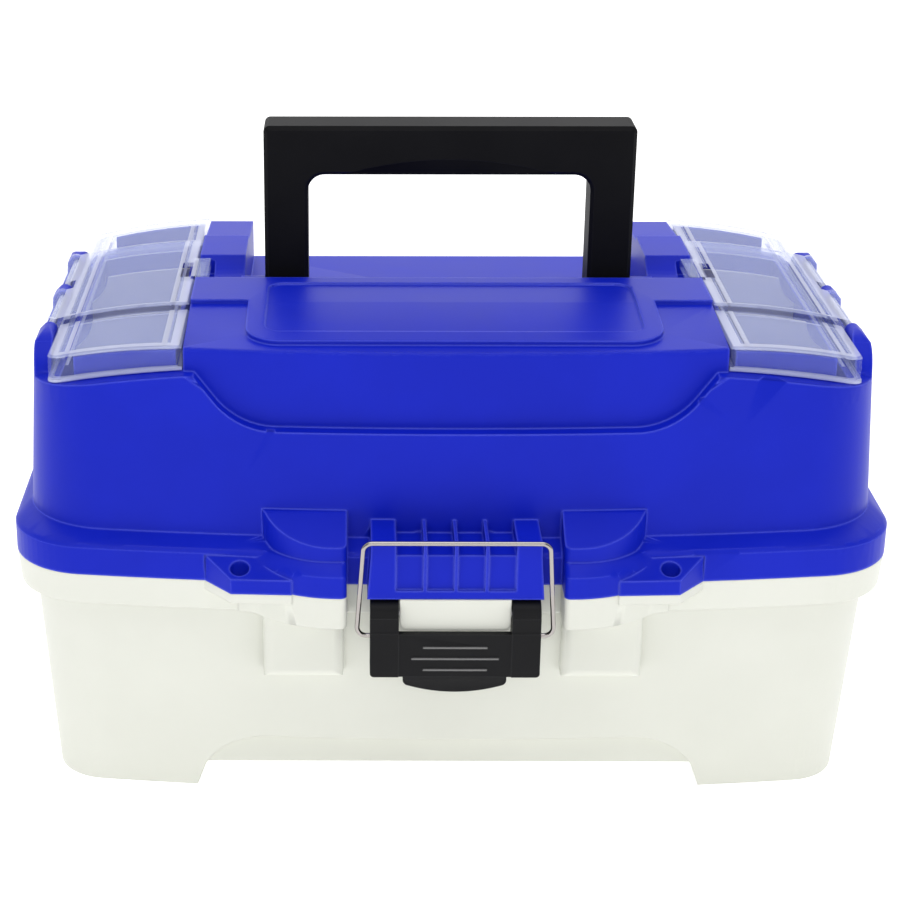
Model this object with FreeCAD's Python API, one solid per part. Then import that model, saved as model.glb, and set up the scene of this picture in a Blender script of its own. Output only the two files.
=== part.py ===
# Two-tray fishing tackle box: drafted tub, hinged lid with two small lidded side wells,
# a fold-down carrying handle, a lever latch with a wire bail, and two trays on parallel arms.
# Millimetres, +X to the right, -Y towards the front, +Z up. The feet stand on z = 0. The sizes
# below count y from the handle pivot, which is the middle of the side covers, and the finished
# pieces are moved so that the origin is under the middle of the whole box, latch to hinges.
import FreeCAD, Part
import os
from math import atan2, cos, radians, sin, sqrt, tan
from FreeCAD import Vector

os.makedirs("parts", exist_ok=True)

# Walls, clearances and overrun shared by the whole box
wall = 2.4                    # wall of tub and lid
thin_wall = 1.8               # wall of trays and covers
seat_gap = 0.3                # air between a piece and its seat
running_gap = 0.05            # radial clearance of a pin in its bore
overrun = 5.0                 # how far a cutter runs past the surface it cuts

# Plan outlines: the front is bowed, the rear is flat
bow_centre = 1087.0           # y of the one centre that every bowed front is drawn about

tub_draft = 6.0               # the tub is this much smaller all round at the floor

brim_half_length = 169.5      # tub just under its lip
brim_front = 108.0
brim_rear = 101.0
brim_corner = 28.0

lip_half_length = 176.6       # lip of the tub and rim of the lid
lip_front = 114.8
lip_rear = 107.0
lip_corner = 33.0
lip_draft = 1.2               # the lip draws in this much towards its lower edge

body_half_length = 171.0      # lid just above its rim
body_front = 105.2
body_rear = 100.0
body_corner = 36.0
lid_draft = 5.0               # the lid is this much smaller all round at the crest height

# Heights of the tub
lip_bottom = 87.0
parting = 100.0               # where lid meets tub
floor_underside = 10.6        # underside between the feet
foot_pocket_floor = 2.4       # inside of the hollow feet

# Feet and the arched recess low on the front
foot_gap_half_width = 103.8   # half the gap between front feet at the floor
arch_top = 24.8
arch_flat = 74.5              # |x| up to which the arch is level
arch_round = 30.0             # radius of its two shoulders
arch_face = 96.6              # flat back of the arched recess
side_gap_half_width = 52.0    # half the gap between front and rear feet at the floor
foot_slope_run = 10.0
foot_pocket_length = 44.0
foot_pocket_width = 22.0
foot_pocket_inset = 6.0       # from the inner wall to the pocket

# Rim of the lid
rim_top = 113.0
rim_bevel = 1.5               # bevel of the rim's upper edge
shoulder_top = 115.8          # where the lid's wall stands on its rim
crest = 200.0                 # height at which the crest outline is given

# Lid wall tops: an arched ledge under each cover and an S-curved ledge between them
centre_half_width = 105.5     # half width of the raised middle of the lid
ledge_arch = (60.0, 181.9, 500.0)     # |x| of its highest point, height there, radius
front_ledge = 158.4
front_ledge_flat = 70.0       # |x| up to which the front ledge is level
front_ledge_radius = 30.0
front_ledge_slope = 52.0      # degrees of the straight part of the S
front_ledge_depth = 6.0       # how far the middle face stands behind the wall below

# Raised middle of the lid
deck_edge = 188.4             # deck height at the front and rear edges
deck_round = 1.6              # rounding of those two edges
deck_peak = 192.6             # deck height beside the band
band_half_width = 46.0        # the raised band runs across, |y| up to this
band_rise = 2.0
plaque_half_width = 82.0
plaque_front = 87.0
plaque_corner = 14.0
plaque_border = 7.5           # frame left around the sunk field
plaque_sink = 1.0
thumb_radius = 21.8           # finger scoop between the handle recess and each cover's tab
thumb_half_width = 16.0
thumb_depth = 7.0
tab_notch_half = 14.0         # notch in the deck that the cover's tab lies in
tab_notch_width = 6.4
tab_notch_floor = 186.5

# Recess that the handle folds into
recess_half_width = 86.0
recess_front = 16.0
recess_floor = 171.5

# Side wells under the covers
well_floor = 156.2
well_side_gap = 0.8           # air between the well's upright rim and the cover's skirt
well_divider_thickness = 1.4
well_divider_count = 2

# Covers of the side wells
cover_inner = 106.0
cover_outer = 159.6
cover_end_inner = 90.0        # |y| of the cover ends at the inner edge
cover_end_outer = 85.0        # |y| of the cover ends beside the outer corner
cover_corner = 7.0
cover_peak = 190.0
cover_arch = (101.0, cover_peak, 250.0)
cover_skirt_gap = 0.5         # air between skirt and ledge
cover_band_half_width = 45.0  # middle part of the cover stands higher
cover_band_rise = 3.0
cover_tab_width = 5.2
cover_tab_half_length = 13.0
cover_tab_rise = 1.0          # the tab stands this much above the cover
cover_tab_hook = 2.0          # its hooked edge reaches this far below it
cover_window_length = 20.0
cover_window_width = 4.6
cover_edge = 0.9              # bevel of the cover's upper edges
cover_bead = 0.5              # bead along the foot of the two end skirts
cover_bead_height = 1.2
cover_ribs = (113.0, 151.5)   # |x| of the two ribs under the cover
cover_rib_thickness = 1.4
cover_rib_depth = 3.2

# Cover hinges along the lid's outer edges
cover_axis_x = 162.9
cover_axis_z = 181.8
cover_knuckle_radius = 4.3
cover_pin_radius = 1.5
shoulder_radius = 3.0         # round crest of the lid's side shoulders, about the hinge axis
shoulder_level = 50.0         # |y| up to which the shoulder is level
shoulder_fall = 22.0          # radius of the falling ends
swing_start = 149.0           # beyond this |x| the well's rim stays low for the cover to swing
divider_swing = 15.5          # the dividers keep this far from the hinge axis
mid_knuckle_half_length = 5.0

# Ears either side of the latch, with padlock lugs beyond them
ear_inner = 42.0
ear_flat = 45.0               # |x| up to which the ear front is straight
ear_round = 2.5               # upright corner beside the latch
ear_root = 84.8               # |x| where the ear springs from the lip
ear_front = 127.4
ear_bend = 45.0               # plan radius of its outward curve
ear_chamfer = 4.0             # sloping upper edge of the lid's ear
ear_cap_front = 122.0         # upper block of the ear
ear_cap_flat = 48.0
ear_cap_bend = 28.9
ear_cap_back = 127.0          # its sloping top, at the lid wall and at its front
ear_cap_drop = 8.0
lug_outer = 97.7
lug_tip = 86.9
lug_front = 123.2
lug_lip = 6.2                 # upright edge of the lid's lug
lug_crest = 110.8             # where its slope meets the rim
lug_inner = 63.2
lug_inner_front = 124.2
lug_depth = 3.9               # thickness of the tub's lug
padlock_x = 83.6
padlock_y = 117.6
padlock_radius = 3.8
lug_split = 78.4              # beyond this |x| ear and lug are a solid of their own

# White bosses on the tub below the ears
boss_inner = 43.4
boss_outer = 75.2
boss_front = 113.6
boss_bottom = 58.0
boss_round = 4.0

# Catch on the lid that the bail hooks over
catch_half_width = 32.8
catch_flare = 1.3             # its foot is this much wider each side
catch_front = 127.5
catch_top = 123.4
catch_post = 9.3
catch_rib = 1.4
catch_rib_pitch = 11.9
catch_side_cells = 2          # cells each side of the middle rib
catch_floor = 118.0           # floor of its four cells
catch_rail = 3.5
catch_sink = 1.5

# Lever, its pivot pad on the tub and its pin
pad_half_width = 21.5
pad_front = 128.0
pad_bottom = 87.0
pad_corner = 3.0
lever_half_width = 33.0
lever_front = 131.2
lever_plate = 3.0
lever_top_radius = 5.6
lever_arm_depth = 9.6
lever_bottom = 68.4
lever_corner = 1.6            # its two lower corners
lever_lip_half_width = 20.2
lever_lip_drop = 6.8
lever_lip_round = 2.4
lever_side_gap = 0.4
lever_pivot_y = 125.2
lever_pivot_z = 93.2
lever_pin_radius = 1.6
lever_rib_heights = (81.2, 76.4, 71.6)
lever_rib_halves = (12.5, 17.0, 12.5)
lever_rib_rise = 0.5
lever_rib_thickness = 0.9

# Wire bail
wire_radius = 0.95
bail_pivot_y = 127.2
bail_pivot_z = 84.4
bail_foot_half_width = 38.2
bail_top_half_width = 35.6
bail_top = 124.2
bail_bend = 3.6
bail_end_depth = 8.0          # how far each end reaches into the lever
bail_gap = 0.35               # air between the bar and the catch's front

# Carrying handle
handle_half_width = 76.7
handle_leg = 18.2
handle_thickness = 20.0
handle_top = 257.0
handle_grip = 20.4
handle_bend = 7.0             # inner corners of the hand opening
handle_shoulder = 2.5         # outer top corners
handle_edge = 1.5             # bevel of the long edges
handle_pivot_z = 182.4
handle_pin_radius = 3.0
handle_pin_reach = 12.0       # into the leg
handle_boss_radius = 7.5
finger_half_width = 45.0      # shallow curve in the face of the grip
finger_rise = 6.6
finger_depth = 1.4

# Lid hinges at the rear
hinge_y = 111.2
hinge_x = 78.0                # middle of each hinge
hinge_radius = 3.9
hinge_pin_radius = 1.6
hinge_lid_length = 18.0
hinge_tub_length = 9.0
hinge_web = 9.0               # height of the webs that carry the knuckles

# Tray linkage, in the plane of the side walls; every crank is parallel to the lid's
crank_y = 58.0                # from the lid hinge to the arm pivot, forwards
crank_z = 12.0                # and down
lower_reach_y = 60.0          # from the lid hinge to the lower tray's pivot, forwards
lower_reach_z = 6.0           # and up
upper_reach_y = 100.0
upper_reach_z = 16.0
pivot_pin_radius = 2.2
peg_gap = 0.3                 # the arms' outer holes are loose on the trays' pegs
pivot_boss_radius = 4.5
arm_inner = 159.8
arm_thickness = 2.6
arm_half_width = 5.0
arm_side_gap = 0.4

# Trays
tray_half_length = 156.5
tray_front = 96.0
tray_rear = 43.0
tray_corner = 18.0
tray_draft = 1.5              # the trays are this much smaller at their floor
lower_tray_bottom = 67.0
lower_tray_top = 100.6
upper_tray_bottom = 101.4
upper_tray_top = 134.0
tray_ear_radius = 5.4
tray_ear_thickness = 3.0
tray_divider_thickness = 1.6
tray_divider_drop = 2.0       # dividers stop this far below the tray's edge
tray_spine_share = 0.42       # where the long divider runs, from front to rear
lower_cross_shares = (-0.52, 0.0, 0.52)     # cross dividers, as shares of the half length
upper_cross_shares = (-0.62, -0.22, 0.2, 0.6)


# Small helpers for profiles and prisms

def line(a, b):
    return Part.LineSegment(a, b).toShape()


def arc(a, b, c):
    return Part.Arc(a, b, c).toShape()


def polygon(points):
    edges = [line(points[i], points[(i + 1) % len(points)]) for i in range(len(points))]
    return Part.Face(Part.Wire(edges))


def prism_x(points, x0, x1):
    face = polygon([Vector(x0, y, z) for y, z in points])
    return face.extrude(Vector(x1 - x0, 0, 0))


def prism_y(points, y0, y1):
    face = polygon([Vector(x, y0, z) for x, z in points])
    return face.extrude(Vector(0, y1 - y0, 0))


def prism_z(points, z0, z1):
    face = polygon([Vector(x, y, z0) for x, y in points])
    return face.extrude(Vector(0, 0, z1 - z0))


def block(x0, x1, y0, y1, z0, z1):
    return Part.makeBox(x1 - x0, y1 - y0, z1 - z0, Vector(x0, y0, z0))


def rod_x(radius, x0, x1, y, z):
    return Part.makeCylinder(radius, x1 - x0, Vector(x0, y, z), Vector(1, 0, 0))


def rod_y(radius, y0, y1, x, z):
    return Part.makeCylinder(radius, y1 - y0, Vector(x, y0, z), Vector(0, 1, 0))


def rod_z(radius, z0, z1, x, y):
    return Part.makeCylinder(radius, z1 - z0, Vector(x, y, z0), Vector(0, 0, 1))


def mirrored(shape):
    return shape.mirror(Vector(0, 0, 0), Vector(1, 0, 0))


def both_sides(shape):
    return [shape, mirrored(shape)]


def joined(shapes):
    first = shapes[0]
    return first.multiFuse(shapes[1:]).removeSplitter() if len(shapes) > 1 else first


def export(name, shape):
    shape = shape.copy()
    shape.translate(Vector(0, -middle_y, 0))
    shape.exportStep("parts/" + name + ".step")
    print(name, "solids", len(shape.Solids), "volume", round(shape.Volume / 1000.0, 2), "cm3",
          "valid", shape.isValid())


# Bowed plan outlines and the drafted solids lofted between them

def inset(plan, amount):
    half_length, front, rear, corner = plan
    return (half_length - amount, front - amount, rear - amount, corner - amount)


def bow_y(front, x):
    return bow_centre - sqrt((bow_centre + front) ** 2 - x ** 2)


def plan_wire(plan, z):
    half_length, front, rear, corner = plan
    bow = bow_centre + front
    cx = half_length - corner
    cy = bow_centre - sqrt((bow - corner) ** 2 - cx ** 2)
    reach = bow / (bow - corner)
    tx = cx * reach
    ty = bow_centre + (cy - bow_centre) * reach
    mid_x = cx + corner * (tx - cx + corner) / sqrt((tx - cx + corner) ** 2 + (ty - cy) ** 2)
    mid_y = cy + corner * (ty - cy) / sqrt((tx - cx + corner) ** 2 + (ty - cy) ** 2)
    back_y = rear - corner
    turn = corner * sqrt(1 / 2)
    edges = [
        arc(Vector(-tx, ty, z), Vector(0, -front, z), Vector(tx, ty, z)),
        arc(Vector(tx, ty, z), Vector(mid_x, mid_y, z), Vector(half_length, cy, z)),
        line(Vector(half_length, cy, z), Vector(half_length, back_y, z)),
        arc(Vector(half_length, back_y, z), Vector(cx + turn, back_y + turn, z), Vector(cx, rear, z)),
        line(Vector(cx, rear, z), Vector(-cx, rear, z)),
        arc(Vector(-cx, rear, z), Vector(-cx - turn, back_y + turn, z),
            Vector(-half_length, back_y, z)),
        line(Vector(-half_length, back_y, z), Vector(-half_length, cy, z)),
        arc(Vector(-half_length, cy, z), Vector(-mid_x, mid_y, z), Vector(-tx, ty, z)),
    ]
    return Part.Wire(edges)


def drafted(plan0, z0, plan1, z1):
    return Part.makeLoft([plan_wire(plan0, z0), plan_wire(plan1, z1)], True, True)


brim_plan = (brim_half_length, brim_front, brim_rear, brim_corner)
foot_plan = inset(brim_plan, tub_draft)
lip_plan = (lip_half_length, lip_front, lip_rear, lip_corner)
body_plan = (body_half_length, body_front, body_rear, body_corner)
crest_plan = inset(body_plan, lid_draft)
foot_half_length, foot_front, foot_rear, foot_corner = foot_plan
crest_front, crest_rear = crest_plan[1:3]
span = lip_half_length + overrun      # past every side of the box
depth = ear_front + overrun           # past the front and the rear of the box
middle_y = (hinge_y + hinge_radius - lever_front - lever_rib_rise) / 2  # middle of the footprint


# Ears and padlock lugs: one plan shape serves tub and lid

def curved_block(x0, flat, bend, front, root, root_y, back, z0, z1):
    """Block with a straight front that bends away, first outwards and then flush with root_y."""
    turn = 2 * atan2(front + root_y, root - flat)
    along = (root - flat) / sin(turn)
    hip = Vector(flat, bend - front, z0)

    def on_bend(angle):
        return hip + Vector(sin(angle), -cos(angle), 0) * bend

    flare = hip + Vector(sin(turn), -cos(turn), 0) * along

    def on_flare(angle):
        return flare + Vector(-sin(angle), cos(angle), 0) * (along - bend)

    start = Vector(flat, -front, z0)
    edges = [arc(start, on_bend(turn / 2), on_bend(turn)),
             arc(on_bend(turn), on_flare(turn / 2), on_flare(0)),
             line(on_flare(0), Vector(root, back, z0)),
             line(Vector(root, back, z0), Vector(x0, back, z0)),
             line(Vector(x0, back, z0), Vector(x0, -front, z0)),
             line(Vector(x0, -front, z0), start)]
    return Part.Face(Part.Wire(edges)).extrude(Vector(0, 0, z1 - z0))


def corner_rounded(shape):
    """Rounds the upright corner of an ear beside the latch."""
    corner = [edge for edge in shape.Edges
              if edge.BoundBox.XMax < ear_inner + seat_gap and edge.CenterOfMass.y < ear_chamfer - ear_front
              and edge.BoundBox.ZMax - edge.BoundBox.ZMin > wall]
    return shape.makeFillet(ear_round, corner)


def ear_block(z0, z1):
    return curved_block(ear_inner, ear_flat, ear_bend, ear_front, ear_root, bow_y(lip_front, ear_root),
                        bow_y(body_front - wall, ear_root), z0, z1)


def lug_outline():
    return [(lug_outer, bow_y(lip_front, lug_outer)), (lug_tip, -lug_front), (lug_inner, -lug_inner_front),
            (lug_inner, bow_y(body_front, lug_inner)), (lug_outer, bow_y(body_front, lug_outer))]


# Tub with lip, feet, ears, pad, hinge knuckles and arm bosses

def lug_side():
    return block(lug_split, span, -depth, 0, 0, crest)


def tub_ear():
    """Ear and padlock lug of the tub in one, right side."""
    return joined([corner_rounded(ear_block(lip_bottom, parting)), prism_z(lug_outline(), parting - lug_depth, parting)])


def padlock_hole():
    return rod_z(padlock_radius, lip_bottom - overrun, shoulder_top, padlock_x, -padlock_y)


def tub_lug():
    """Outer part of the tub's ear, from the split to its end, seated on the lip's face."""
    behind = joined([drafted(inset(lip_plan, lip_draft), lip_bottom, lip_plan, parting),
                     drafted(brim_plan, lip_bottom, brim_plan, parting)])
    return tub_ear().common(lug_side()).cut(behind).cut(padlock_hole())


def tub_outside():
    body = drafted(foot_plan, 0, brim_plan, lip_bottom)
    neck = drafted(brim_plan, lip_bottom, brim_plan, parting)
    lip = drafted(inset(lip_plan, lip_draft), lip_bottom, lip_plan, parting)
    hollow = drafted(inset(lip_plan, wall + lip_draft), lip_bottom - overrun,
                     inset(lip_plan, wall), parting - wall)
    filled = both_sides(block(ear_inner, lug_split, -depth, 0, 0, crest))
    filled.append(block(-pad_half_width, pad_half_width, -depth, 0, 0, crest))
    return joined([body, neck, lip.cut(hollow.cut(Part.Compound(filled)))])


def tub_front_block():
    """Tub's ear up to the split with the boss below it, right side, seated on body and lip."""
    boss = block(boss_inner, boss_outer, -boss_front, -foot_front, boss_bottom, lip_bottom + wall)
    front_edges = [edge for edge in boss.Edges
                   if edge.CenterOfMass.y < -boss_front + boss_round
                   and edge.CenterOfMass.z < lip_bottom]
    boss = boss.makeFillet(boss_round, front_edges)
    return joined([tub_ear().cut(lug_side()), boss]).cut(tub_outside())


def latch_pad():
    """Pad that carries the lever's pin, seated on body and lip."""
    pad = block(-pad_half_width, pad_half_width, -pad_front, -brim_front + wall, pad_bottom, parting)
    low_edges = [edge for edge in pad.Edges
                 if abs(edge.CenterOfMass.z - pad_bottom) < pad_corner
                 and abs(edge.CenterOfMass.x) > pad_half_width - pad_corner]
    bore = rod_x(lever_pin_radius, -pad_half_width - overrun, pad_half_width + overrun,
                 -lever_pivot_y, lever_pivot_z)
    return pad.makeFillet(pad_corner, low_edges).cut(tub_outside()).cut(bore)


def arch_recess(grow, y0, y1):
    """Room below the arch between the front feet, from the underside of the tub up."""
    radius = arch_round + grow
    centre_z = arch_top - arch_round
    end = arch_flat + sqrt(radius ** 2 - (floor_underside - centre_z) ** 2)
    turn = radius * sqrt(1 / 2)
    edges = [
        line(Vector(-end, y0, floor_underside), Vector(end, y0, floor_underside)),
        arc(Vector(end, y0, floor_underside), Vector(arch_flat + turn, y0, centre_z + turn),
            Vector(arch_flat, y0, centre_z + radius)),
        line(Vector(arch_flat, y0, centre_z + radius), Vector(-arch_flat, y0, centre_z + radius)),
        arc(Vector(-arch_flat, y0, centre_z + radius), Vector(-arch_flat - turn, y0, centre_z + turn),
            Vector(-end, y0, floor_underside)),
    ]
    return Part.Face(Part.Wire(edges)).extrude(Vector(0, y1 - y0, 0))


def foot_gaps():
    low = -overrun
    at_floor = arch_flat + sqrt(arch_round ** 2 - (floor_underside - arch_top + arch_round) ** 2)
    wide = foot_gap_half_width + (foot_gap_half_width - at_floor) * overrun / floor_underside
    front_back = prism_y([(-wide, low), (-at_floor, floor_underside), (at_floor, floor_underside),
                          (wide, low)], -depth, depth)
    run = foot_slope_run / floor_underside
    side_wide = side_gap_half_width + run * overrun
    side_at_floor = side_gap_half_width - foot_slope_run
    left_right = prism_x([(-side_wide, low), (-side_at_floor, floor_underside),
                          (side_at_floor, floor_underside), (side_wide, low)], -span, span)
    return [front_back, left_right, arch_recess(0, -depth, -arch_face)]


def foot_pockets():
    x1 = foot_half_length - wall - foot_pocket_inset
    pockets = []
    for y0 in (foot_rear - wall - foot_pocket_inset - foot_pocket_width,
               -foot_front + wall + foot_pocket_inset + foot_corner / 2):
        pocket = block(x1 - foot_pocket_length, x1, y0, y0 + foot_pocket_width,
                       foot_pocket_floor, floor_underside + wall + overrun)
        pockets += both_sides(pocket)
    return pockets


def tub_inside():
    """Room inside the walls; the front wall steps inwards behind the arched recess."""
    start = inset(foot_plan, wall)
    room = drafted(start, floor_underside + wall, inset(brim_plan, wall), parting + overrun)
    return room.cut(arch_recess(wall, -depth, -arch_face + wall))


def hinge_knuckles(x_ranges, z0, z1, face_y):
    pieces = []
    for x0, x1 in x_ranges:
        pieces.append(rod_x(hinge_radius, x0, x1, hinge_y, parting))
        pieces.append(block(x0, x1, face_y - wall, hinge_y, z0, z1))
    return pieces


def tub_hinge_ranges():
    inner = hinge_lid_length / 2 + seat_gap
    ranges = []
    for x in (-hinge_x, hinge_x):
        ranges.append((x - inner - hinge_tub_length, x - inner))
        ranges.append((x + inner, x + inner + hinge_tub_length))
    return ranges


arm_pivot_y = hinge_y - crank_y
arm_pivot_z = parting - crank_z
lower_pivot_y = hinge_y - lower_reach_y
lower_pivot_z = parting + lower_reach_z
upper_pivot_y = hinge_y - upper_reach_y
upper_pivot_z = parting + upper_reach_z
lower_peg_y = lower_pivot_y - crank_y
lower_peg_z = lower_pivot_z - crank_z
upper_peg_y = upper_pivot_y - crank_y
upper_peg_z = upper_pivot_z - crank_z
arm_outer = arm_inner + arm_thickness
boss_face = arm_outer + arm_side_gap


def tub():
    shape = tub_outside().cut(Part.Compound(foot_gaps()))
    shape = shape.cut(Part.Compound([tub_inside()] + foot_pockets()))
    extras = hinge_knuckles(tub_hinge_ranges(), parting - hinge_web, parting - seat_gap, lip_rear)
    arm_boss = rod_x(pivot_boss_radius, boss_face, brim_half_length - wall / 2,
                     arm_pivot_y, arm_pivot_z)
    extras += both_sides(arm_boss)
    shape = joined([shape] + extras)
    cuts = [rod_x(hinge_pin_radius, -span, span, hinge_y, parting)]
    cuts += both_sides(rod_x(pivot_pin_radius, boss_face - overrun, brim_half_length - wall,
                             arm_pivot_y, arm_pivot_z))
    return shape.cut(Part.Compound(cuts))


def below_floor():
    return block(-span, span, -depth, depth, -overrun, floor_underside)


# Lid: rim, arched side ledges, S-curved front ledge, raised middle and side wells

def arch_z(x, arch, lift):
    centre, peak, radius = arch
    return peak + lift - radius + sqrt(radius ** 2 - (x - centre) ** 2)


def lid_profile(drop):
    """Silhouette of the lid's walls seen from the front, lowered by drop."""
    low = parting - overrun
    start_x = centre_half_width
    end_x = body_half_length + overrun
    mid_x = (start_x + end_x) / 2
    slope = radians(front_ledge_slope)
    turn_x = front_ledge_flat + front_ledge_radius * sin(slope)
    turn_z = front_ledge - drop + front_ledge_radius * (1 - cos(slope))
    half = slope / 2
    arc_x = front_ledge_flat + front_ledge_radius * sin(half)
    arc_z = front_ledge - drop + front_ledge_radius * (1 - cos(half))
    ledge_start = arch_z(start_x, ledge_arch, -drop)
    ledge_end = arch_z(end_x, ledge_arch, -drop)
    top_x = turn_x + (ledge_start - turn_z) / tan(slope)
    right = [
        line(Vector(end_x, 0, low), Vector(end_x, 0, ledge_end)),
        arc(Vector(end_x, 0, ledge_end), Vector(mid_x, 0, arch_z(mid_x, ledge_arch, -drop)),
            Vector(start_x, 0, ledge_start)),
        line(Vector(start_x, 0, ledge_start), Vector(top_x, 0, ledge_start)),
        line(Vector(top_x, 0, ledge_start), Vector(turn_x, 0, turn_z)),
        arc(Vector(turn_x, 0, turn_z), Vector(arc_x, 0, arc_z),
            Vector(front_ledge_flat, 0, front_ledge - drop)),
    ]
    bottom = line(Vector(-end_x, 0, low), Vector(end_x, 0, low))
    level = line(Vector(front_ledge_flat, 0, front_ledge - drop),
                 Vector(-front_ledge_flat, 0, front_ledge - drop))
    left = [mirrored(edge) for edge in right]
    wire = Part.Wire(Part.__sortEdges__([bottom] + right + [level] + left))
    face = Part.Face(wire)
    face.translate(Vector(0, -depth, 0))
    return face.extrude(Vector(0, 2 * depth, 0))


def deck_prism(rise, half_width):
    low = front_ledge - wall - overrun
    points = [(-depth, low), (-depth, deck_edge + rise - (depth - crest_front) * deck_slope()),
              (-band_half_width, deck_peak + rise), (band_half_width, deck_peak + rise),
              (depth, deck_edge + rise - (depth - crest_rear) * deck_slope()), (depth, low)]
    return prism_x(points, -half_width, half_width)


def deck_slope():
    return (deck_peak - deck_edge) / (crest_front - front_ledge_depth - band_half_width)


def raised_middle(shrink):
    low_plan = inset(body_plan, front_ledge_depth + shrink)
    high_plan = inset(crest_plan, front_ledge_depth + shrink)
    column = drafted(low_plan, shoulder_top, high_plan, crest)
    solid = column.common(deck_prism(-shrink, centre_half_width - shrink))
    if shrink > 0:
        return solid
    edges = [edge for edge in solid.Edges
             if edge.BoundBox.ZMin > deck_edge - seat_gap and abs(edge.CenterOfMass.y) > plaque_half_width
             and edge.BoundBox.XMax - edge.BoundBox.XMin > plaque_half_width]
    return solid.makeFillet(deck_round, edges)


def plaque_plan(grow, z0, z1):
    """Band across the deck with the plaque in front of it."""
    band = block(-centre_half_width, centre_half_width, -band_half_width, band_half_width, z0, z1)
    half = plaque_half_width + grow
    front = plaque_front + grow
    plate = block(-half, half, -front, -recess_front, z0, z1)
    corners = [edge for edge in plate.Edges
               if abs(edge.CenterOfMass.y + front) < plaque_corner
               and abs(edge.CenterOfMass.x) > half - plaque_corner
               and abs(edge.Vertexes[0].Z - edge.Vertexes[-1].Z) > plaque_sink]
    return band, plate.makeFillet(plaque_corner, corners)


def plaque_field():
    low = deck_edge - overrun
    half = plaque_half_width - plaque_border
    front = plaque_front - plaque_border - band_rise
    plate = block(-half, half, -front, -recess_front - plaque_border, low, crest)
    corners = [edge for edge in plate.Edges
               if abs(edge.CenterOfMass.x) > half - plaque_sink
               and abs(edge.Vertexes[0].Z - edge.Vertexes[-1].Z) > plaque_sink]
    plate = plate.makeFillet(plaque_corner - plaque_border, corners)
    return plate.cut(deck_prism(band_rise - plaque_sink, centre_half_width))


def cover_plan(shrink, z0, z1):
    """Plan of one cover as a prism: inner edge straight, ends slanted, outer corners round."""
    inner = cover_inner + shrink
    outer = cover_outer - shrink
    end_in = cover_end_inner - shrink
    end_out = cover_end_outer - shrink
    points = [(inner, -end_in), (outer, -end_out), (outer, end_out), (inner, end_in)]
    solid = prism_z(points, z0, z1)
    corners = [edge for edge in solid.Edges
               if abs(edge.CenterOfMass.x - outer) < cover_tab_width
               and abs(edge.Vertexes[0].Z - edge.Vertexes[-1].Z) > overrun]
    return solid.makeFillet(cover_corner - shrink, corners)


def arch_prism(arch, lift, x0, x1, low, y0, y1):
    """Everything below one arch, from x0 to x1, down to a level."""
    mid = (x0 + x1) / 2
    start = Vector(x0, y0, arch_z(x0, arch, lift))
    end = Vector(x1, y0, arch_z(x1, arch, lift))
    edges = [
        arc(start, Vector(mid, y0, arch_z(mid, arch, lift)), end),
        line(end, Vector(x1, y0, low)),
        line(Vector(x1, y0, low), Vector(x0, y0, low)),
        line(Vector(x0, y0, low), start),
    ]
    return Part.Face(Part.Wire(edges)).extrude(Vector(0, y1 - y0, 0))


def well_block():
    shrink = thin_wall + well_side_gap
    plan = cover_plan(shrink, well_floor - wall, crest)
    under = arch_prism(cover_arch, -shrink, cover_inner, cover_outer,
                       well_floor - wall - overrun, -depth, depth)
    return plan.common(under)


def well_pocket():
    return cover_plan(thin_wall + well_side_gap + thin_wall, well_floor, crest)


def side_shoulder():
    """Wall beside the cover, flush with the lid's side, with a crest round the hinge axis."""
    low = arch_z(body_half_length, ledge_arch, 0) - overrun
    reach = shoulder_level + shoulder_fall
    outer = body_half_length
    bar = block(cover_axis_x - shoulder_radius, outer, -reach, reach, low, cover_axis_z)
    bead = rod_y(shoulder_radius, -reach, reach, cover_axis_x, cover_axis_z)
    rest = cover_axis_x + shoulder_radius * sqrt(1 / 2)
    rise = cover_axis_z + shoulder_radius * sqrt(1 / 2)
    cheek = prism_y([(cover_axis_x, cover_axis_z), (rest, rise), (outer, rise - outer + rest),
                     (outer, cover_axis_z - overrun), (cover_axis_x, cover_axis_z - overrun)], -reach, reach)
    top = cover_axis_z + shoulder_radius
    fall = top - shoulder_fall
    bow = shoulder_level + shoulder_fall * sqrt(1 / 2)
    drop = fall + shoulder_fall * sqrt(1 / 2)
    edges = [line(Vector(0, -shoulder_level, top), Vector(0, shoulder_level, top)),
             arc(Vector(0, shoulder_level, top), Vector(0, bow, drop), Vector(0, reach, fall)),
             line(Vector(0, reach, fall), Vector(0, -reach, fall)),
             arc(Vector(0, -reach, fall), Vector(0, -bow, drop), Vector(0, -shoulder_level, top))]
    side = Part.Face(Part.Wire(edges)).extrude(Vector(span, 0, 0))
    walls = drafted(body_plan, shoulder_top, crest_plan, crest)
    return joined([bar, bead, cheek]).common(side).common(walls)


def swing_room():
    """Space above the outer ledge, where the cover's skirt swings through."""
    room = block(swing_start, cover_outer + seat_gap, -depth, depth, well_floor, crest)
    return room.cut(arch_prism(ledge_arch, 0, cover_inner, cover_outer + overrun,
                               well_floor - overrun, -depth - overrun, depth + overrun))


def knuckle_room():
    """Space for the cover's two knuckles, one each side of the lid's middle one."""
    radius = cover_knuckle_radius + seat_gap
    low = cover_axis_z
    rooms = []
    for y0, y1 in ((-cover_band_half_width - seat_gap, -mid_knuckle_half_length),
                   (mid_knuckle_half_length, cover_band_half_width + seat_gap)):
        rooms.append(rod_y(radius, y0, y1, cover_axis_x, cover_axis_z))
        rooms.append(block(cover_axis_x - radius, cover_axis_x + radius + overrun, y0, y1, low, crest))
        rooms.append(block(cover_axis_x, cover_axis_x + radius + overrun, y0, y1,
                           cover_axis_z - radius, crest))
    return rooms


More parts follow.
